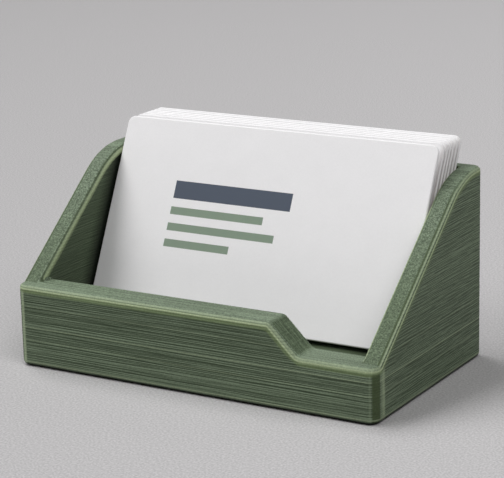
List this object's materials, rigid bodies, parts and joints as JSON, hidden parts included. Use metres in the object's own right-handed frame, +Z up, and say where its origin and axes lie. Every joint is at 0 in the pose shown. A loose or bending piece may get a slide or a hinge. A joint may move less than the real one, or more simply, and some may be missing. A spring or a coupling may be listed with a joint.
{
  "type": "business card holder stand",
  "caption": "Desk stand with slanted side walls, a stepped front lip with a thumb notch and a leaning pocket that holds a row of round-cornered business cards.",
  "frame": {"origin": "middle of the holder's underside", "axes": "+Z up, -Y out of the front lip, +X to the right as seen from the front"},
  "size_m": [0.0996, 0.0588, 0.0556],
  "materials": {
    "printed_plastic": "matte filament print with fine level layer lines",
    "card_stock": "uncoated smooth white board"
  },
  "bodies": {
    "holder": {"holder": "printed_plastic"},
    "card_1": {"card_1": "card_stock"},
    "card_2": {"card_2": "card_stock"},
    "card_3": {"card_3": "card_stock"},
    "card_4": {"card_4": "card_stock"},
    "card_5": {"card_5": "card_stock"},
    "card_6": {"card_6": "card_stock"},
    "card_7": {"card_7": "card_stock"}
  },
  "joints": [
    {"name": "card_1_lift", "type": "slide", "parent": "holder", "child": "card_1", "axis": [0, 0.4368, 0.8996], "range_m": [0, 0.055]},
    {"name": "card_2_lift", "type": "slide", "parent": "holder", "child": "card_2", "axis": [0, 0.4368, 0.8996], "range_m": [0, 0.055]},
    {"name": "card_3_lift", "type": "slide", "parent": "holder", "child": "card_3", "axis": [0, 0.4368, 0.8996], "range_m": [0, 0.055]},
    {"name": "card_4_lift", "type": "slide", "parent": "holder", "child": "card_4", "axis": [0, 0.4368, 0.8996], "range_m": [0, 0.055]},
    {"name": "card_5_lift", "type": "slide", "parent": "holder", "child": "card_5", "axis": [0, 0.4368, 0.8996], "range_m": [0, 0.055]},
    {"name": "card_6_lift", "type": "slide", "parent": "holder", "child": "card_6", "axis": [0, 0.4368, 0.8996], "range_m": [0, 0.055]},
    {"name": "card_7_lift", "type": "slide", "parent": "holder", "child": "card_7", "axis": [0, 0.4368, 0.8996], "range_m": [0, 0.055]}
  ]
}
